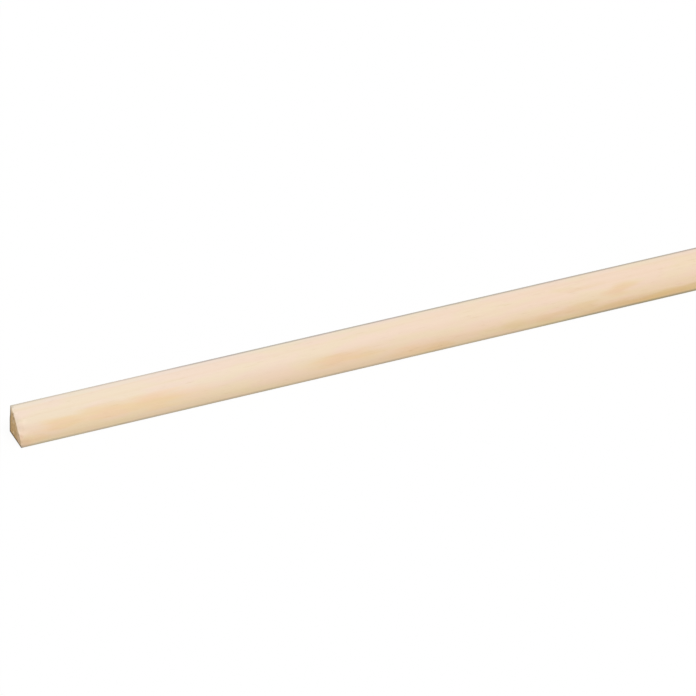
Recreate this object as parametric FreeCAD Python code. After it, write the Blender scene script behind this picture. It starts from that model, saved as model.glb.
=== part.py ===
import FreeCAD, Part
import math
import os

# Quarter round moulding: one length of machined softwood, laid on its base leg.
# The base face lies on z = 0, the wall face looks towards +Y and the rounded nose towards -Y.
# X runs along the length, and the origin is in the middle of the base face.

# Driving dimensions, in millimetres

LENGTH = 2438.4           # eight feet, a length that the stock is sold in
LEG_DEPTH = 19.05         # three quarters of an inch, from the wall face to the toe
LEG_HEIGHT = 19.05        # three quarters of an inch, from the base face to the top
NOSE_RADIUS = 22.225      # seven eighths of an inch, a little flatter than a full quarter circle
TOP_LAND = 0.8            # flat strip that the cutter leaves between the nose and the wall face
TOE_LAND = 0.8            # upright strip that it leaves between the nose and the base face
HEEL_EASE = 0.5           # sanded arris where the wall face and the base face meet
TOP_EASE = 0.35           # sanded arris between the top land and the wall face
TOE_EASE = 0.35           # sanded arris between the toe land and the base face

NODE = "quarter_round_moulding"
PARTS_FOLDER = "parts"


def section_point(x, depth, height):
    """Point of the section, from its depth towards the viewer off the wall face and its height."""
    return FreeCAD.Vector(x, LEG_DEPTH / 2 - depth, height)


def arc_between(start, end, radius, bulge):
    """Arc of a radius from start to end, which stands off its chord on the side of bulge."""
    middle = (start + end) * 0.5
    half_chord = (end - start).Length / 2
    sagitta = radius - math.sqrt(radius ** 2 - half_chord ** 2)
    crown = middle + FreeCAD.Vector(bulge).normalize() * sagitta
    return Part.Arc(start, crown, end).toShape()


def eased_corner(before, corner, after, radius):
    """The two tangent points of a rounded right angle, and the arc between them."""
    start = corner + (before - corner).normalize() * radius
    end = corner + (after - corner).normalize() * radius
    outwards = (corner - start) + (corner - end)
    return start, end, arc_between(start, end, radius, outwards)


def moulding_section(x):
    """Closed outline across the stock at x: two legs, three eased arrises, two lands, the nose."""
    heel = section_point(x, 0, 0)
    top = section_point(x, 0, LEG_HEIGHT)
    toe = section_point(x, LEG_DEPTH, 0)
    nose_top = section_point(x, TOP_LAND, LEG_HEIGHT)
    nose_foot = section_point(x, LEG_DEPTH, TOE_LAND)

    base_end, wall_start, heel_arris = eased_corner(toe, heel, top, HEEL_EASE)
    wall_end, land_start, top_arris = eased_corner(heel, top, nose_top, TOP_EASE)
    land_end, base_start, toe_arris = eased_corner(nose_foot, toe, heel, TOE_EASE)

    chord = nose_foot - nose_top
    away_from_heel = FreeCAD.Vector(0, chord.z, -chord.y)
    nose = arc_between(nose_top, nose_foot, NOSE_RADIUS, away_from_heel)

    return Part.Wire([
        heel_arris,
        Part.LineSegment(wall_start, wall_end).toShape(),
        top_arris,
        Part.LineSegment(land_start, nose_top).toShape(),
        nose,
        Part.LineSegment(nose_foot, land_end).toShape(),
        toe_arris,
        Part.LineSegment(base_start, base_end).toShape(),
    ])


def moulding():
    """The section run through the planer for the whole length, with both ends cut square."""
    cut_end = Part.Face(moulding_section(-LENGTH / 2))
    return cut_end.extrude(FreeCAD.Vector(LENGTH, 0, 0))


os.makedirs(PARTS_FOLDER, exist_ok=True)
stock = moulding()
stock.exportStep(os.path.join(PARTS_FOLDER, NODE + ".step"))

centre = stock.CenterOfMass
print("solids", len(stock.Solids), "valid", stock.isValid(), "volume mm3", round(stock.Volume, 1))
print("centre of mass", round(centre.x, 3), round(centre.y, 3), round(centre.z, 3))
print("box", stock.BoundBox)
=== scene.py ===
import math
import random

import bmesh
import bpy
from mathutils import Matrix, Vector, noise


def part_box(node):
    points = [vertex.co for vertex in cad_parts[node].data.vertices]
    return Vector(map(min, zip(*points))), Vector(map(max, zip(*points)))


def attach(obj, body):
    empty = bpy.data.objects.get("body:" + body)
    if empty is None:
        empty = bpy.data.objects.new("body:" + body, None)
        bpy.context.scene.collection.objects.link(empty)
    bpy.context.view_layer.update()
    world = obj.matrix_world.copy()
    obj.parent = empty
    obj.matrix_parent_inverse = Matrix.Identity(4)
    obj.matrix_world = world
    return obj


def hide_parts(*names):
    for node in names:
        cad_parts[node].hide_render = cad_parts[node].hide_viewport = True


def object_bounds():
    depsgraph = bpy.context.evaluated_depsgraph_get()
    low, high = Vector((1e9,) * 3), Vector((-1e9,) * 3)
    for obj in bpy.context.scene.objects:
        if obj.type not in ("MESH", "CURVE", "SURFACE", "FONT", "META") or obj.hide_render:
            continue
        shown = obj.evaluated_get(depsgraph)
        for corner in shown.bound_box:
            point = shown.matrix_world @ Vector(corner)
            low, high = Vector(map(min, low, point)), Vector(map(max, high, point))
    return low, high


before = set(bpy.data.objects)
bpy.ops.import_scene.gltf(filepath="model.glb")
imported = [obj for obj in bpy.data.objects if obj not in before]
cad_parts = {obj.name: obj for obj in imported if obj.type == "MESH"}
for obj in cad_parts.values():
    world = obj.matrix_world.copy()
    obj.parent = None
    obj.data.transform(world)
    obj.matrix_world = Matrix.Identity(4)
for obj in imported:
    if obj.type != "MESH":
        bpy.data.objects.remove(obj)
cad_low, cad_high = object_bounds()


# The camera
# It stands where the picture was taken from: far off with a long lens, a little to the left of the
# near cut end, and looks down on the nose. Distances are from the heel of the near end.

IMAGE_SIDE = 696            # pixels
FOCAL_LENGTH = 5367.5       # pixels
SENSOR_WIDTH = 36.0         # millimetres
AZIMUTH = math.radians(-25.901)
ELEVATION = math.radians(34.568)
ROLL = math.radians(2.352)
DISTANCE = 3.2333           # metres, as are the next three
HEEL_LEFT_OF_AIM = 0.20381
HEEL_BELOW_AIM = 0.05008
FURTHEST_SEEN = 500.0

backwards = Vector((
    math.sin(AZIMUTH) * math.cos(ELEVATION),
    -math.cos(AZIMUTH) * math.cos(ELEVATION),
    math.sin(ELEVATION),
))
level_right = Vector((math.cos(AZIMUTH), math.sin(AZIMUTH), 0))
level_up = backwards.cross(level_right)
right = level_right * math.cos(ROLL) + level_up * math.sin(ROLL)
upwards = level_up * math.cos(ROLL) - level_right * math.sin(ROLL)
near_heel = Vector((cad_low.x, cad_high.y, cad_low.z))
station = near_heel + right * HEEL_LEFT_OF_AIM + upwards * HEEL_BELOW_AIM + backwards * DISTANCE

lens = bpy.data.cameras.new("long_lens")
lens.sensor_width = SENSOR_WIDTH
lens.lens = FOCAL_LENGTH * SENSOR_WIDTH / IMAGE_SIDE
lens.clip_end = FURTHEST_SEEN
camera = bpy.data.objects.new("long_lens", lens)
bpy.context.collection.objects.link(camera)
camera.matrix_world = Matrix((
    (right.x, upwards.x, backwards.x, station.x),
    (right.y, upwards.y, backwards.y, station.y),
    (right.z, upwards.z, backwards.z, station.z),
    (0, 0, 0, 1),
))
bpy.context.scene.camera = camera


# The moulding, modelled
# One length of clear, pale softwood. A round nose is planed on a square stick, the three long
# arrises are taken off with sandpaper, and a saw cuts the stock to length and tears its rims.

NODE = "quarter_round_moulding"
NOSE_RADIUS = 0.022225
TOP_LAND = 0.0008           # flat strip between the nose and the wall face
TOE_LAND = 0.0008           # upright strip between the nose and the base
HEEL_EASE = 0.0005          # radius of the sanded arris between wall face and base
TOP_EASE = 0.00035
TOE_EASE = 0.00035
HEART_SHARE = 0.42          # share of each leg, from the heel, at which the section's heart lies
NOSE_STEPS = 240            # sides of the whole turned rod
ARRIS_STEPS = 4
BAYS = 96                   # lengths between one cross cut and the next
# Closer cross cuts for the worn rims, by their distances from either end
END_CUTS = (0.00005, 0.00015, 0.0003, 0.0005, 0.0008, 0.0012, 0.0017, 0.0023, 0.0032, 0.0047, 0.007)
HAIR = 1e-6                 # places nearer to each other than this are one

low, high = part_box(NODE)
nose_top = Vector((0, high.y - TOP_LAND, high.z))
nose_foot = Vector((0, low.y, low.z + TOE_LAND))
chord = nose_top - nose_foot
towards_heel = Vector((0, chord.z, -chord.y)).normalized()
centre_depth = math.sqrt(NOSE_RADIUS ** 2 - (chord.length / 2) ** 2)
nose_centre = (nose_top + nose_foot) / 2 + towards_heel * centre_depth
heart = Vector((0, high.y - (high.y - low.y) * HEART_SHARE, low.z + (high.z - low.z) * HEART_SHARE))


def pick(kind, test):
    """Selects only the vertices, edges or faces of the edited mesh that pass a test."""
    bpy.ops.mesh.select_mode(type={"verts": "VERT", "edges": "EDGE", "faces": "FACE"}[kind])
    bpy.ops.mesh.select_all(action="DESELECT")
    form = bmesh.from_edit_mesh(bpy.context.object.data)
    for element in getattr(form, kind):
        if test(element):
            element.select_set(True)
    bmesh.update_edit_mesh(bpy.context.object.data)


def plane_off(point, normal):
    """Takes away what stands out past a plane, and closes the cut."""
    bpy.ops.mesh.select_all(action="SELECT")
    bpy.ops.mesh.bisect(
        plane_co=point, plane_no=normal, use_fill=True, clear_outer=True, threshold=HAIR)


def ease_arris(y, z, radius):
    """Rounds the long edge that runs through y and z."""
    pick("edges", lambda edge: all(
        abs(v.co.y - y) < HAIR and abs(v.co.z - z) < HAIR for v in edge.verts))
    bpy.ops.mesh.bevel(offset=radius, segments=ARRIS_STEPS, profile=0.5, affect="EDGES")


bpy.ops.object.select_all(action="DESELECT")
bpy.ops.mesh.primitive_cylinder_add(
    vertices=NOSE_STEPS, radius=NOSE_RADIUS, depth=high.x - low.x, end_fill_type="NGON",
    location=nose_centre, rotation=(0, math.radians(90), 0))
moulding = bpy.context.object
moulding.name = "planed_moulding"
bpy.ops.object.transform_apply(location=True, rotation=True, scale=True)

bpy.ops.object.mode_set(mode="EDIT")
plane_off(high, (0, 1, 0))
plane_off(high, (0, 0, 1))
plane_off(low, (0, -1, 0))
plane_off(low, (0, 0, -1))
ease_arris(high.y, low.z, HEEL_EASE)
ease_arris(high.y, high.z, TOP_EASE)
ease_arris(low.y, low.z, TOE_EASE)

cuts = [low.x + (high.x - low.x) * bay / BAYS for bay in range(1, BAYS)]
cuts += [low.x + depth for depth in END_CUTS] + [high.x - depth for depth in END_CUTS]
for cut in cuts:
    bpy.ops.mesh.select_all(action="SELECT")
    bpy.ops.mesh.bisect(plane_co=(cut, 0, 0), plane_no=(1, 0, 0), threshold=HAIR)
bpy.ops.object.mode_set(mode="OBJECT")

# The rims of the sawn ends are rubbed off, and the nose's rim has lost most
RIM_WEAR = 0.00012
NOSE_WEAR = 0.0011          # along the middle of the nose
WEAR_GROWS = (0.08, 0.34)   # shares of the way up the nose between which it grows to that
WEAR_FADES = (0.78, 1.00)   # and between which it fades again
WEAR_SLANT = 2.5            # how many times as long as deep the rounding is
WEAR_CURVE = 1.4            # 1 would be a straight slope, and more is rounder
WEAR_WAVES = ((9, 0.20), (37, 0.09))    # humps along the nose, and share of the wear that they take
# Where the near end has lost more: share of the way up the nose, reach as such a share, extra wear
NEAR_NICKS = (
    (0.86, 0.08, 0.0002),
    (0.59, 0.09, 0.0004),
    (0.41, 0.28, 0.0012),
    (0.34, 0.08, 0.0003),
    (0.20, 0.05, 0.0004),
    (0.08, 0.09, 0.0006),
)
nose_start = math.atan2(nose_foot.z - nose_centre.z, nose_centre.y - nose_foot.y)
nose_stop = math.atan2(nose_top.z - nose_centre.z, nose_centre.y - nose_top.y)


def press(offsets):
    """Moves vertices by their offsets in metres."""
    for axis, letter in enumerate("XYZ"):
        for way in (1, -1):
            moves = {index: offset[axis] * way for index, offset in offsets.items()}
            furthest = max(moves.values())
            if furthest <= 0:
                continue
            group = moulding.vertex_groups.new(name="pressed")
            for index, move in moves.items():
                group.add([index], max(move, 0) / furthest, "REPLACE")
            shove = moulding.modifiers.new("press", "DISPLACE")
            shove.vertex_group = "pressed"
            shove.direction = letter
            shove.strength = furthest * way
            shove.mid_level = 0
            bpy.ops.object.modifier_apply(modifier="press")
            moulding.vertex_groups.clear()


def step_up(value, start, stop):
    """Goes softly from 0 to 1 while the value goes from start to stop."""
    share = min(max((value - start) / (stop - start), 0), 1)
    return share * share * (3 - 2 * share)


def up_the_nose(y, z):
    """0 at the foot of the nose, and 1 at its top."""
    turn = math.atan2(z - nose_centre.z, nose_centre.y - y)
    return (turn - nose_start) / (nose_stop - nose_start)


def worn_rim(end, inwards, nicks):
    """How far wear has moved each vertex near an end towards the heart of the section."""
    offsets = {}
    for vertex in moulding.data.vertices:
        y, z = vertex.co.y, vertex.co.z
        from_centre = math.hypot(y - nose_centre.y, z - nose_centre.z)
        wear = RIM_WEAR
        if abs(from_centre - NOSE_RADIUS) < HAIR * 10:
            share = up_the_nose(y, z)
            middle = step_up(share, *WEAR_GROWS) - step_up(share, *WEAR_FADES)
            wear += (NOSE_WEAR - RIM_WEAR) * middle
            for waves, unevenness in WEAR_WAVES:
                wear *= 1 + unevenness * middle * noise.noise((share * waves, inwards, 0))
            for nick, nick_reach, extra in nicks:
                wear += extra * (1 - step_up(abs(share - nick), 0, nick_reach))
        depth = (vertex.co.x - end) * inwards / (wear * WEAR_SLANT)
        if depth < 1:
            towards_heart = Vector((0, heart.y - y, heart.z - z)).normalized()
            offsets[vertex.index] = towards_heart * wear * (1 - depth) ** WEAR_CURVE
    return offsets


press(worn_rim(low.x, 1, NEAR_NICKS))
press(worn_rim(high.x, -1, ()))

# The sawn faces, and the wall face and base right beside them, get a finer mesh for their chips
END_GRID = 0.0007
CHIPPED_LENGTH = 0.0012     # of the wall face and the base
FLAT_DEPTH = 0.00025        # what lies no deeper than this is part of the wall face or the base
SQUARE_ON = 0.9999          # a face that looks along the stock this squarely is a sawn one


def may_chip(face):
    """True for a sawn face, and for the wall face and base right beside it."""
    middle = face.calc_center_median()
    on_flat = middle.y > high.y - FLAT_DEPTH or middle.z < low.z + FLAT_DEPTH
    beside_end = abs(middle.x) > high.x - CHIPPED_LENGTH
    return abs(face.normal.x) > SQUARE_ON or on_flat and beside_end


bpy.ops.object.mode_set(mode="EDIT")
steps = math.ceil((high.y - low.y) / END_GRID)
for step in range(1, steps):
    for point, normal in (
            ((0, low.y + step * END_GRID, 0), (0, 1, 0)),
            ((0, 0, low.z + step * END_GRID), (0, 0, 1))):
        pick("faces", may_chip)
        bpy.ops.mesh.bisect(plane_co=point, plane_no=normal, threshold=HAIR)
bpy.ops.object.mode_set(mode="OBJECT")

# Small chips, left to chance at each end: distance from the section's heart, half width and depth
CHIPS = 14
CHIP_PLACE = (0.0085, 0.0115)
CHIP_WIDTH = (0.0007, 0.0018)
CHIP_DEPTH = (0.0001, 0.0003)
# Larger losses of the near end: millimetres from the wall face and above the base, half width, depth
NEAR_PITS = (
    (4.7, 15.4, 1.0, 0.5),
    (6.4, 13.6, 1.1, 0.5),
)
NEAR_RUBS = (
    (0.0, 19.05, 4.5, 0.42),    # the top corner
    (0.0, 14.5, 4.6, 0.30),     # the edge of the wall face below it
)


def end_point(depth, height):
    """The point of the near end at so many millimetres from the wall face and above the base."""
    return low.x, high.y - depth / 1000, low.z + height / 1000


def chipped(end, inwards, chips):
    """How far each vertex near an end is driven inwards by chips: y, z, half width and depth of each."""
    deepest = max(chip[3] for chip in chips)
    offsets = {}
    for vertex in moulding.data.vertices:
        depth = (vertex.co.x - end) * inwards
        if depth > deepest:
            continue
        bottom = 0.0
        for y, z, width, chip_depth in chips:
            away = math.hypot(vertex.co.y - y, vertex.co.z - z) / width
            if away < 1:
                bottom = max(bottom, chip_depth * (1 - away ** 2))
        if bottom > depth:
            offsets[vertex.index] = Vector(((bottom - depth) * inwards, 0, 0))
    return offsets


near_losses = []
for from_wall, height, width, depth in NEAR_PITS + NEAR_RUBS:
    _, y, z = end_point(from_wall, height)
    near_losses.append((y, z, width / 1000, depth / 1000))
chance = random.Random(5)
for end, inwards, losses in ((low.x, 1, near_losses), (high.x, -1, [])):
    chips = list(losses)
    for _ in range(CHIPS):
        turn = chance.uniform(0, math.tau)
        from_heart = chance.uniform(*CHIP_PLACE)
        y = max(heart.y + from_heart * math.cos(turn), low.y)
        z = min(heart.z + from_heart * math.sin(turn), high.z)
        width = chance.uniform(*CHIP_WIDTH)
        depth = chance.uniform(*CHIP_DEPTH)
        if y + width < high.y and z - width > low.z:
            chips.append((y, z, width, depth))
    press(chipped(end, inwards, chips))

# The mesh is closed up, and shaded smooth except over its sharp edges
CLOSING_GAP = 0.00001
SHARP_ANGLE = math.radians(35)

bpy.ops.object.mode_set(mode="EDIT")
bpy.ops.mesh.select_all(action="SELECT")
bpy.ops.mesh.remove_doubles(threshold=CLOSING_GAP)
bpy.ops.mesh.normals_make_consistent(inside=False)
bpy.ops.object.mode_set(mode="OBJECT")
bpy.ops.object.shade_smooth_by_angle(angle=SHARP_ANGLE)
shading = moulding.modifiers.new("even_shading", "WEIGHTED_NORMAL")
shading.keep_sharp = True
bpy.ops.object.modifier_apply(modifier="even_shading")

# A map for the bake: the length is cut into strips that lie one above the other, with the section's
# outline rolled out upwards in each, and the two sawn faces stand beside them. The map's side is 1.
STRIPS = 4
STRIP_LEFT = 0.005
STRIP_WIDTH = 0.90
STRIP_HEIGHT = 0.23
ENDS_LEFT = 0.91
NEAR_END_FOOT = 0.1
FAR_END_FOOT = 0.3
END_SIDE = 0.085
SAWN_SLANT = 0.6            # a face that looks along the stock more than this counts as sawn
strip_length = (high.x - low.x) / STRIPS
heel_turn = math.atan2(low.z - heart.z, high.y - heart.y)


def is_sawn(face):
    """True for the sawn faces, and for the steepest of their worn rims."""
    return abs(face.normal.x) > SAWN_SLANT


def turn_from_heel(place):
    """How far round the section's heart a place lies from the heel, from 0 to a whole turn."""
    return (math.atan2(place.z - heart.z, place.y - heart.y) - heel_turn) % math.tau


chart = moulding.data.uv_layers.new(name="OFBake")
for face in moulding.data.polygons:
    middle = face.center
    strip = min(int((middle.x - low.x) / strip_length), STRIPS - 1)
    middle_turn = turn_from_heel(middle)
    end_foot = NEAR_END_FOOT if middle.x < 0 else FAR_END_FOOT
    for loop in face.loop_indices:
        place = moulding.data.vertices[moulding.data.loops[loop].vertex_index].co
        if is_sawn(face):
            u = ENDS_LEFT + END_SIDE * (place.y - low.y) / (high.y - low.y)
            v = end_foot + END_SIDE * (place.z - low.z) / (high.z - low.z)
        else:
            turn = turn_from_heel(place)
            turn += math.tau * round((middle_turn - turn) / math.tau)
            u = STRIP_LEFT + STRIP_WIDTH * ((place.x - low.x) / strip_length - strip)
            v = (strip + 0.5) / STRIPS + STRIP_HEIGHT * (turn / math.tau - 0.5)
        chart.data[loop].uv = (u, v)


class Signal:
    """What a node puts out, so that sums and products of it read as plain expressions."""

    def __init__(self, finish, socket):
        self.finish = finish
        self.socket = socket

    def out(self, name):
        """Another output of the same node."""
        return Signal(self.finish, self.socket.node.outputs[name])

    def maths(self, operation, *terms):
        """A sum, product or the like of some terms."""
        return self.finish.node("ShaderNodeMath", {"operation": operation}, dict(enumerate(terms)))

    def at_least(self, other):
        """The greater of this and another."""
        return self.maths("MAXIMUM", self, other)

    def rise(self, start, stop):
        """Goes softly from 0 to 1 while the signal goes from start to stop."""
        return self.finish.node(
            "ShaderNodeMapRange", {"interpolation_type": "SMOOTHSTEP"},
            {"Value": self, "From Min": start, "From Max": stop})

    def between(self, first, second):
        """Goes from first to second while the signal goes from 0 to 1."""
        return self * (second - first) + first

    def __add__(self, other):
        return self.maths("ADD", self, other)

    def __sub__(self, other):
        return self.maths("SUBTRACT", self, other)

    def __rsub__(self, other):
        return self.maths("SUBTRACT", other, self)

    def __mul__(self, other):
        return self.maths("MULTIPLY", self, other)

    def __truediv__(self, other):
        return self.maths("DIVIDE", self, other)

    def __pow__(self, other):
        return self.maths("POWER", self, other)

    __radd__ = __add__
    __rmul__ = __mul__


WHITE = (1, 1, 1, 1)


class Finish:
    """A material, or the world's light, that is made up node by node."""

    def __init__(self, owner):
        owner.use_nodes = True
        self.owner = owner
        self.tree = owner.node_tree
        self.tree.nodes.clear()

    def node(self, kind, settings, sockets, output=0):
        """Adds a node with its settings and its sockets' values or links."""
        made = self.tree.nodes.new(kind)
        for name, value in settings.items():
            setattr(made, name, value)
        for name, value in sockets.items():
            if isinstance(value, Signal):
                self.tree.links.new(value.socket, made.inputs[name])
            else:
                made.inputs[name].default_value = value
        return Signal(self, made.outputs[output])

    def vector(self, operation, first, second=(0, 0, 0), output="Vector"):
        """A sum, product or the like of two colours or places."""
        return self.node(
            "ShaderNodeVectorMath", {"operation": operation}, {0: first, 1: second}, output)

    def place(self):
        """Where a point of the piece lies, in metres."""
        return self.node("ShaderNodeTexCoord", {}, {}, output="Object")

    def along_across_up(self, place):
        """The three coordinates of a place."""
        along = self.node("ShaderNodeSeparateXYZ", {}, {"Vector": place})
        return along, along.out("Y"), along.out("Z")

    def noise(self, place, cells, detail=2.0, output="Fac"):
        """Smooth noise around 0.5, with so many cells to the metre along, across and up."""
        return self.node(
            "ShaderNodeTexNoise", {},
            {"Vector": self.vector("MULTIPLY", place, cells), "Scale": 1.0, "Detail": detail}, output)

    def mix(self, share, first, second):
        """A colour between two, at a share of the way."""
        return self.node(
            "ShaderNodeMix", {"data_type": "RGBA"}, {0: share, 6: first, 7: second}, output=2)

    def tinted(self, colour, share, tint):
        """A colour multiplied by a tint, where the share is 1: real tones, and painted shade and
        highlights too.
        """
        return self.vector("MULTIPLY", colour, self.mix(share, WHITE, (*tint, 1)))

    def shade(self, colour, strength):
        """A colour made lighter or darker by a factor."""
        return self.node(
            "ShaderNodeVectorMath", {"operation": "SCALE"}, {0: colour, "Scale": strength})

    def spot(self, place, middle, reach, core=0.25):
        """1 in the core of a soft egg-shaped spot, which is a share of its reach, and 0 past that."""
        away = self.vector("DIVIDE", self.vector("SUBTRACT", place, middle), reach)
        return 1 - self.vector("LENGTH", away, output="Value").rise(core, 1.0)

    def end(self, shader, kind="ShaderNodeOutputMaterial"):
        """Leads the last shader out."""
        way_out = self.tree.nodes.new(kind)
        self.tree.links.new(shader.socket, way_out.inputs["Surface"])

    def close(self, colour, roughness, relief, relief_depth):
        """Ends a solid material with its shader, over a relief of so many metres."""
        bump = self.node(
            "ShaderNodeBump", {}, {"Height": relief, "Distance": relief_depth, "Strength": 1.0})
        self.end(self.node(
            "ShaderNodeBsdfPrincipled", {},
            {"Base Color": colour, "Roughness": roughness, "Normal": bump}))


def linear(red, green, blue):
    """A colour as the eye sees it, from 0 to 255, turned into the shader's own scale."""
    shares = [value / 255 for value in (red, green, blue)]
    return (*[((share + 0.055) / 1.055) ** 2.4 for share in shares], 1.0)


def long_side(one, other):
    """The long side of a right triangle with two short sides."""
    return (one * one + other * other) ** 0.5


# Where the growth layers lie: the tree's pith runs almost along the stock, below and behind it
PITH_Y = high.y + 0.066
PITH_Z = low.z - 0.048
GRAIN_DRIFT_Y = 0.004       # of each metre of length
GRAIN_DRIFT_Z = -0.003
WANDER_CELLS = (4.0, 25.0, 25.0)
WANDER_Y = 0.0025           # how far the layers stray from true rings
WANDER_Z = 0.0018
LAYER = 0.0019              # one year's growth
LATEWOOD_FROM = 0.60        # share of a layer at which it begins to darken
LATEWOOD_FULL = 0.92
LATEWOOD_TO = 0.94          # and at which it begins to pale again


def growth(finish, place):
    """Latewood as 1 and earlywood as 0, from a place in the stock."""
    along, across, up = finish.along_across_up(place)
    wander = finish.noise(place, WANDER_CELLS, detail=3.0) - 0.5
    ring_y = across - along * GRAIN_DRIFT_Y - PITH_Y + wander * WANDER_Y
    ring_z = up - along * GRAIN_DRIFT_Z - PITH_Z + wander * WANDER_Z
    years = long_side(ring_y, ring_z) / LAYER
    layer = years.maths("FRACT", years)
    return layer.rise(LATEWOOD_FROM, LATEWOOD_FULL) * (1 - layer.rise(LATEWOOD_TO, 1.0))


# The planed faces are cream with a blush of pink, and a little yellower further on
CREAM = linear(239, 219, 197)
FAR_CREAM = linear(238, 214, 188)
SEEN_LENGTH = 0.46          # as much as the picture shows, and it turns yellower over it
PINK_BLUSH = (1.008, 0.985, 1.020)
STRAW_BLUSH = (0.992, 1.010, 0.970)
BLUSH_CELLS = (32.0, 150.0, 150.0)
BLUSH_BORDER = (0.38, 0.62)

wood = Finish(bpy.data.materials.new("planed_softwood"))
place = wood.place()
along, across, up = wood.along_across_up(place)
colour = wood.mix(along.rise(low.x, low.x + SEEN_LENGTH), CREAM, FAR_CREAM)
blush = wood.noise(place, BLUSH_CELLS).rise(*BLUSH_BORDER)
colour = wood.vector("MULTIPLY", colour, wood.mix(blush, (*PINK_BLUSH, 1), (*STRAW_BLUSH, 1)))

# The growth layers show on the wall face and the base, and hardly on the nose, which is sanded smooth
LATEWOOD = linear(226, 192, 150)
NOSE_CONTRAST = 0.08
FLAT_CONTRAST = 0.30

on_wall = across.rise(high.y - FLAT_DEPTH, high.y - FLAT_DEPTH / 4)
on_base = 1 - up.rise(low.z + FLAT_DEPTH / 4, low.z + FLAT_DEPTH)
contrast = on_wall.at_least(on_base).between(NOSE_CONTRAST, FLAT_CONTRAST)
colour = wood.mix(growth(wood, place) * contrast, colour, LATEWOOD)

# The wood is honey-coloured in soft patches on the nose, and amber in browner ones. It also turns warmer
# towards the base: partly the wood's own tone and partly painted warm shade near the floor. Past the
# seen length the patches are left to chance.
HONEY = (1.015, 0.925, 0.770)
WARM_BASE_FROM = 0.0145         # height at which the tone towards the base begins
WARM_BASE_FULL = 0.0050         # height at which it is full
WARM_BASE_STRENGTH = 0.40           # its strength there
AMBER = (0.940, 0.900, 0.775)
# Each patch: millimetres from the near end and above the base, half length, half height, and strength
HONEY_PATCHES = (
    (40, 8, 66, 9, 0.28),
    (8, 3.5, 12, 4, 0.45),
    (27, 9.5, 19, 6, 0.60),
    (56, 10, 22, 6.5, 0.65),
    (87, 9.5, 28, 6.5, 0.80),
    (116, 9, 22, 6, 0.28),
    (214, 9, 34, 5.5, 0.56),
    (258, 4, 20, 4, 0.45),
    (276, 3.5, 14, 3, 0.30),
    (405, 12, 17, 5, 0.38),
    (432, 2.8, 36, 2.4, 0.45),
)
AMBER_PATCHES = (
    (27, 9, 16, 5, 0.18),
    (56, 12, 18, 4, 0.22),
    (87, 10.5, 20, 4, 0.22),
    (214, 9.5, 32, 4.5, 0.25),
    (217, 10.8, 21, 1.6, 0.34),
    (276, 3.5, 16, 3.5, 0.40),
    (333, 6, 15, 3.5, 0.48),
    (353, 5, 15, 4.5, 0.65),
    (375, 6.5, 24, 3, 0.70),
    (378, 15.6, 25, 1.6, 0.42),
    (405, 12, 16, 4.6, 0.60),
    (450, 3.2, 90, 4.2, 1.35),
    (407, 1.5, 80, 3, 0.60),
    (447, 3.6, 50, 2.4, 0.75),
)
PATCH_DEPTH = 0.007         # into the stock
SWAY_CELLS = (35.0, 260.0, 260.0)
SWAY = (0.034, 0.007, 0.007)        # how far the patches' borders stray, along, across and up
CHANCE_CELLS = (12.0, 90.0, 90.0)
CHANCE_HONEY = (0.54, 0.70)
CHANCE_AMBER = (0.66, 0.78)
CHANCE_FULL = 0.552         # length from which the patches left to chance are at full strength


def nose_point(distance, height):
    """The point of the nose at so many millimetres from the near end and above the base."""
    z = low.z + height / 1000
    y = nose_centre.y - math.sqrt(NOSE_RADIUS ** 2 - (z - nose_centre.z) ** 2)
    return low.x + distance / 1000, y, z


def patches(rows):
    """A sum of soft patches on the nose."""
    total = 0
    for distance, height, half_length, half_height, strength in rows:
        reach = (half_length / 1000, PATCH_DEPTH, half_height / 1000)
        total = wood.spot(swayed, nose_point(distance, height), reach) * strength + total
    return total


sway = wood.noise(place, SWAY_CELLS, detail=3.0, output="Color")
sway = wood.vector("SUBTRACT", sway, (0.5, 0.5, 0.5))
swayed = wood.vector("ADD", place, wood.vector("MULTIPLY", sway, SWAY))
# The tone that warms towards the base is partly the wood's own and partly painted warm shade near the
# floor.
honey_and_warm_shade = (1 - up.rise(WARM_BASE_FULL, WARM_BASE_FROM)) * WARM_BASE_STRENGTH + patches(HONEY_PATCHES)
amber = patches(AMBER_PATCHES)
unseen = along.rise(low.x + SEEN_LENGTH, low.x + CHANCE_FULL)
left_to_chance = wood.noise(swayed, CHANCE_CELLS, detail=3.0)
colour = wood.tinted(colour, honey_and_warm_shade + left_to_chance.rise(*CHANCE_HONEY) * unseen, HONEY)
colour = wood.tinted(colour, amber + left_to_chance.rise(*CHANCE_AMBER) * unseen, AMBER)

# The lowest millimetres of the nose are darker and warmer: painted shade where the nose comes down to
# the floor
LOW_NOSE_SHADE = (0.888, 0.910, 0.790)
LOW_NOSE_SHADE_FROM = 0.0075           # height at which the tan begins
LOW_NOSE_SHADE_FULL = 0.0018
LOW_NOSE_SHADE_STRENGTH = 0.55

# Painted shade, darker and warmer, on the lowest millimetres of the nose beside the floor.
colour = wood.tinted(colour, (1 - up.rise(LOW_NOSE_SHADE_FULL, LOW_NOSE_SHADE_FROM)) * LOW_NOSE_SHADE_STRENGTH, LOW_NOSE_SHADE)

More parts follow.
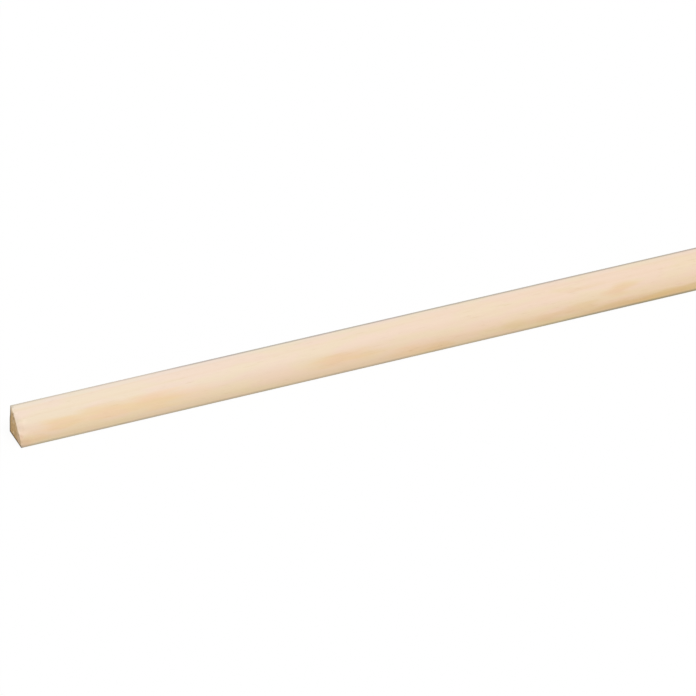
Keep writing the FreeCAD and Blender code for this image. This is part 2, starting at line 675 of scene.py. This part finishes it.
# The long edges are greyed, and the strip along the top is bleached by daylight. The grey of the top
# edge is fainter next to the near end. Along the toe the grey is painted contact shade where the nose
# meets the floor, and it is deeper further on.
SILVER = (0.985, 1.025, 1.07)
SILVER_FULL = 0.0026        # distance from the top edge
SILVER_GONE = 0.0046
SILVER_STRENGTHS = (1.6, 1.0)       # in the stretch next to the near end, and past it
NEAR_STRETCH_TO = (0.08, 0.14)     # lengths between which the stretch next to the near end ends
TOP_GREY = (0.59, 0.62, 0.67)
TOP_GREY_STRENGTHS = (0.62, 1.25)   # in the stretch next to the near end, and past it
HEEL_GREY_STRENGTH = 0.8
TOE_ARRIS_SHADE = (0.555, 0.630, 0.680)
TOE_ARRIS_SHADE_STRENGTHS = (0.68, 1.26)   # next to the near end, and where the painted shade is deeper
ARRIS_SHADE_DEEPENS = (0.33, 0.41)  # lengths between which the painted shade along the toe deepens
GREY_FULL = 0.0007          # distance from a long edge
GREY_GONE = 0.0020
UNEVEN_CELLS = (60.0, 200.0, 200.0)
UNEVEN_STRENGTHS = (0.7, 1.3)


def from_edge(y, z):
    """Distance from the long edge that runs through y and z."""
    return long_side(across - y, up - z)


past_near_stretch = along.rise(*[low.x + length for length in NEAR_STRETCH_TO])
arris_shade_deeper = along.rise(*[low.x + length for length in ARRIS_SHADE_DEEPENS])
bleached = 1 - from_edge(high.y, high.z).rise(SILVER_FULL, SILVER_GONE)
colour = wood.tinted(colour, bleached * past_near_stretch.between(*SILVER_STRENGTHS), SILVER)
uneven = wood.noise(place, UNEVEN_CELLS).between(*UNEVEN_STRENGTHS)
# The grey along the toe is painted contact shade where the nose meets the floor.
for y, z, strength, tint in (
        (high.y, high.z, past_near_stretch.between(*TOP_GREY_STRENGTHS), TOP_GREY),
        (low.y, low.z, arris_shade_deeper.between(*TOE_ARRIS_SHADE_STRENGTHS), TOE_ARRIS_SHADE),
        (high.y, low.z, HEEL_GREY_STRENGTH, TOP_GREY)):
    greyness = (1 - from_edge(y, z).rise(GREY_FULL, GREY_GONE)) * strength
    colour = wood.tinted(colour, greyness * uneven, tint)

# Marks at the near rim: painted highlights, as bright flecks and a lighter patch of crushed fibres that
# catch the light; peach patches lower down; and darker corners, which at the toe are painted contact
# shade.
# Each has millimetres from the end and above the base, half length, half height, and tint.
PAINTED_GLINT = (1.08, 1.13, 1.12)
PAINTED_LIGHT_PATCH = (1.04, 1.04, 1.04)
PEACH = (0.960, 0.895, 0.905)
CORNER_DARKENING = (0.80, 0.82, 0.83)
TOE_TIP_SHADE = (0.44, 0.50, 0.54)
MARKS = (
    # Painted highlights: bright flecks on torn fibres, then a lighter patch of crushed fibres
    (1.4, 17.1, 1.5, 0.6, PAINTED_GLINT),
    (0.7, 16.4, 1.5, 0.6, PAINTED_GLINT),
    (0.4, 15.2, 1.5, 0.6, PAINTED_GLINT),
    (3.0, 13.2, 5.0, 4.5, PAINTED_LIGHT_PATCH),
    (2.0, 13.0, 3.4, 2.2, PAINTED_LIGHT_PATCH),
    (0.6, 6.8, 2.2, 2.6, PEACH),
    (1.5, 3.2, 7.0, 4.5, PEACH),
    # Darker corners: the top one, then two at the toe that are painted contact shade
    (0.8, 18.8, 1.5, 0.6, CORNER_DARKENING),
    (0.8, 1.7, 1.0, 0.6, CORNER_DARKENING),
    (0.0, 0.2, 1.3, 1.4, TOE_TIP_SHADE),
)
LEAST_MARK_DEPTH = 1.5      # millimetres into the stock

for distance, height, half_length, half_height, tint in MARKS:
    depth = max(half_height, LEAST_MARK_DEPTH)
    reach = (half_length / 1000, depth / 1000, half_height / 1000)
    colour = wood.tinted(colour, wood.spot(place, nose_point(distance, height), reach), tint)

# The grain: soft streaks, single fibres, and fine brown dashes of resin canals that the cutter opened
STREAK_CELLS = (22.0, 700.0, 700.0)
FIBRE_CELLS = (130.0, 4200.0, 4200.0)
CANAL_CELLS = (95.0, 2600.0, 2600.0)
CANAL_BORDER = (0.66, 0.80)
CANAL = (0.93, 0.89, 0.82)
DARKEST_GRAIN = 0.955
STREAK_TONE = 0.04
FIBRE_TONE = 0.05
STREAK_RELIEF = 0.5         # as a share of a fibre's
WOOD_RELIEF = 0.00004
WOOD_ROUGHNESS = 0.6

streak = wood.noise(place, STREAK_CELLS, detail=3.0)
fibre = wood.noise(place, FIBRE_CELLS)
canals = wood.noise(place, CANAL_CELLS, detail=1.0).rise(*CANAL_BORDER)
colour = wood.shade(colour, DARKEST_GRAIN + streak * STREAK_TONE + fibre * FIBRE_TONE)
colour = wood.tinted(colour, canals, CANAL)
wood.close(colour, WOOD_ROUGHNESS, fibre + streak * STREAK_RELIEF - canals, WOOD_RELIEF)

# The sawn ends are darker and more ochre, with rings, pores, and the scratches of a round saw
END_EARLYWOOD = linear(216, 181, 128)
END_LATEWOOD = linear(186, 148, 97)
MOTTLE_CELLS = (360.0, 360.0, 360.0)
TUFT_CELLS = (1700.0, 1700.0, 1700.0)
PORE_CELLS = (7000.0, 7000.0, 7000.0)
ARBOR_Y = high.y + 0.040    # the saw turned about this place as it cut through
ARBOR_Z = high.z + 0.120
SCRATCH_CELLS = (1.0, 2600.0, 90.0)     # along the stock, out from the arbor, and up

end_grain = Finish(bpy.data.materials.new("sawn_end_grain"))
place = end_grain.place()
along, across, up = end_grain.along_across_up(place)
mottle = end_grain.noise(place, MOTTLE_CELLS, detail=3.0)
tufted = end_grain.noise(place, TUFT_CELLS)
pores = end_grain.noise(place, PORE_CELLS, detail=1.0)
from_arbor = long_side(across - ARBOR_Y, up - ARBOR_Z)
arcs = end_grain.node("ShaderNodeCombineXYZ", {}, {"X": along, "Y": from_arbor, "Z": up})
scratch = end_grain.noise(arcs, SCRATCH_CELLS)
colour = end_grain.mix(growth(end_grain, place), END_EARLYWOOD, END_LATEWOOD)

# A pale furred band lines the nose, within a fainter halo, and the near end's rim has a torn place.
# Towards the top the band reaches deeper, partly as a painted highlight where the top catches the light.
FUR = linear(243, 219, 186)
FUR_FULL = 0.0016           # depth of the band inside the nose
FUR_GONE = 0.0030
FUR_AND_LIGHT_AT_TOP = 0.0018         # how much deeper the band is at the top
TOP_FROM = 0.65             # share of the height at which the top begins
FUR_GROWS = (0.004, 0.011)  # heights between which the band grows to its full strength
FUR_AT_FOOT = 0.35          # its strength below them
BAND_WANDER = 0.003         # how far its border wanders
BAND_TUFTS = 0.0012         # and how far it does so in fine tufts
HALO = 0.30
HALO_GONE = 0.0065
TEAR_HEIGHT = 10.0          # millimetres
TEAR_REACH = (0.006, 0.0050, 0.0042)
# Pale tufts on the near end: millimetres from the wall face and above the base, half width, strength
TUFTS = (
    (5.6, 10.8, 2.4, 0.50),
    (6.3, 2.8, 1.8, 0.65),
    (9.4, 8.6, 2.2, 0.25),
    (12.4, 7.4, 1.8, 0.60),
)

towards_top = up.rise(high.z * TOP_FROM, high.z)
inside = NOSE_RADIUS - long_side(across - nose_centre.y, up - nose_centre.z)
# Towards the top the pale band reaches deeper: partly furred fibres, partly a painted highlight.
inside = inside + (mottle - 0.5) * BAND_WANDER - towards_top * FUR_AND_LIGHT_AT_TOP
inside = inside + (tufted - 0.5) * BAND_TUFTS
fur = (1 - inside.rise(FUR_FULL, FUR_GONE)) * up.rise(*FUR_GROWS).between(FUR_AT_FOOT, 1)
fur = fur.at_least(end_grain.spot(place, nose_point(0, TEAR_HEIGHT), TEAR_REACH))
fur = fur.at_least((1 - inside.rise(FUR_GONE, HALO_GONE)) * HALO)
for from_wall, height, width, strength in TUFTS:
    reach = (width / 1000, width / 1000, width / 1000)
    tuft = end_grain.spot(place, end_point(from_wall, height), reach)
    fur = fur.at_least(tuft * (0.5 + tufted) * strength)
colour = end_grain.mix(fur, colour, FUR)

# How much each texture of the sawn ends counts in their tone
DARKEST_SPECKLE = 0.40
MOTTLE_TONE = 0.70
TUFT_TONE = 0.10
PORE_TONE = 0.25
SCRATCH_TONE = 0.15

speckle = mottle * MOTTLE_TONE + tufted * TUFT_TONE + pores * PORE_TONE + scratch * SCRATCH_TONE
colour = end_grain.shade(colour, DARKEST_SPECKLE + speckle)

# Stains and painted shade of the near end: millimetres from the wall face and above the base, half
# width, and tint. Painted shade darkens the two pits and the toe where it meets the floor; a patch
# beside the nose is greyer.
PIT_SHADE = (0.64, 0.58, 0.54)
PIT_SHADE_SPREAD = 1.4      # times the pit's own half width
ROSE = (1.03, 1.06, 1.32)
TOE_END_SHADE = (0.66, 0.70, 0.76)
END_SPOT_DEPTH = 0.003         # into the stock
# Painted shade in the two pits and at the toe, and a greyer patch beside the nose.
stains_and_shade = [
    (from_wall, height, width * PIT_SHADE_SPREAD, PIT_SHADE)
    for from_wall, height, width, depth in NEAR_PITS]
stains_and_shade += [(13.4, 3.2, 4.8, ROSE), (18.3, 0.6, 2.4, TOE_END_SHADE)]

for from_wall, height, width, tint in stains_and_shade:
    reach = (END_SPOT_DEPTH, width / 1000, width / 1000)
    colour = end_grain.tinted(
        colour, end_grain.spot(place, end_point(from_wall, height), reach), tint)

# Both ends get painted shade along the wall face, and painted contact shade along the base where it
# meets the floor
WALL_EDGE_SHADE = (0.28, 0.34, 0.42)
WALL_EDGE_SHADE_DEPTH = 0.0026
WALL_EDGE_SHADE_AT_TOP = 0.5      # share of it that is left at the top
BASE_EDGE_SHADE = (0.16, 0.15, 0.12)
BASE_EDGE_SHADE_DEPTH = 0.0023
TOE_EDGE_SHADE_DEPTH = 0.0013     # beside the toe
TOE_EDGE_SHADE_WIDTH = 0.008      # over which it deepens to the base's

# Painted shade along the wall face, then painted contact shade along the base.
wall_edge_shade = 1 - (high.y - across).rise(0, WALL_EDGE_SHADE_DEPTH)
colour = end_grain.tinted(colour, wall_edge_shade * towards_top.between(1, WALL_EDGE_SHADE_AT_TOP), WALL_EDGE_SHADE)
edge_shade_depth = across.rise(low.y, low.y + TOE_EDGE_SHADE_WIDTH).between(TOE_EDGE_SHADE_DEPTH, BASE_EDGE_SHADE_DEPTH)
colour = end_grain.tinted(colour, 1 - ((up - low.z) / edge_shade_depth).rise(0, 1), BASE_EDGE_SHADE)

# How much each texture counts in their relief, and its depth
MOTTLE_RELIEF = 0.6
TUFT_RELIEF = 0.4
PORE_RELIEF = 0.3
SCRATCH_RELIEF = 0.4
END_RELIEF = 0.00015
END_ROUGHNESS = 0.8

relief = mottle * MOTTLE_RELIEF + tufted * TUFT_RELIEF + scratch * SCRATCH_RELIEF + pores * PORE_RELIEF
end_grain.close(colour, END_ROUGHNESS, relief, END_RELIEF)

moulding.data.materials.append(wood.owner)
moulding.data.materials.append(end_grain.owner)
for face in moulding.data.polygons:
    face.material_index = 1 if is_sawn(face) else 0

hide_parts(NODE)
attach(moulding, "root")


# The floor and the light
# A plain pale floor without an edge in sight, under an even white sky and one broad soft lamp that
# stands high and a little in front of the nose.

FLOOR_SIDE = 160.0
FLOOR_GAP = 0.0001
SEEN_WHITE = 0.90           # share of the floor's own white in the camera's eye; the rest is lit
FLOOR_BOUNCE = (0.60, 0.56, 0.48, 1)     # what it throws back at the stock, a warm white

bpy.ops.object.select_all(action="DESELECT")
bpy.ops.mesh.primitive_plane_add(size=FLOOR_SIDE, location=(0, 0, low.z - FLOOR_GAP))
floor = bpy.context.object
floor.name = "floor"
paper = Finish(bpy.data.materials.new("pale_floor"))
rays = paper.node("ShaderNodeLightPath", {}, {}, output="Is Camera Ray")
seen = rays.at_least(rays.out("Is Glossy Ray"))
whiteness = paper.mix(seen, FLOOR_BOUNCE, WHITE)
lit = paper.node("ShaderNodeBsdfDiffuse", {}, {"Color": whiteness})
white = paper.node("ShaderNodeEmission", {}, {"Color": WHITE, "Strength": 1.0})
paper.end(paper.node("ShaderNodeMixShader", {}, {0: seen * SEEN_WHITE, 1: lit, 2: white}))
floor.data.materials.append(paper.owner)

SKY = (0.66, 0.66, 0.66, 1)         # what it throws on the stock; the camera sees it white
sky = Finish(bpy.data.worlds.new("white_studio"))
rays = sky.node("ShaderNodeLightPath", {}, {}, output="Is Camera Ray")
colour = sky.mix(rays, SKY, WHITE)
sky.end(sky.node("ShaderNodeBackground", {}, {"Color": colour}), "ShaderNodeOutputWorld")
bpy.context.scene.world = sky.owner

LAMP_HEIGHT = math.radians(65)      # above the floor, seen along the stock
LAMP_ASIDE = 0.10                   # towards the far end, as a share of its distance
LAMP_STRENGTH = 0.38 * math.pi      # adds 0.38 to a white surface that faces it
LAMP_WIDTH = math.radians(30)       # as the stock sees it
lamp_light = bpy.data.lights.new("soft_lamp", "SUN")
lamp_light.energy = LAMP_STRENGTH
lamp_light.angle = LAMP_WIDTH
lamp = bpy.data.objects.new("soft_lamp", lamp_light)
bpy.context.collection.objects.link(lamp)
towards_lamp = Vector((LAMP_ASIDE, -math.cos(LAMP_HEIGHT), math.sin(LAMP_HEIGHT)))
lamp.rotation_mode = "QUATERNION"
lamp.rotation_quaternion = towards_lamp.to_track_quat("Z", "Y")

bpy.context.scene.view_settings.view_transform = "Standard"
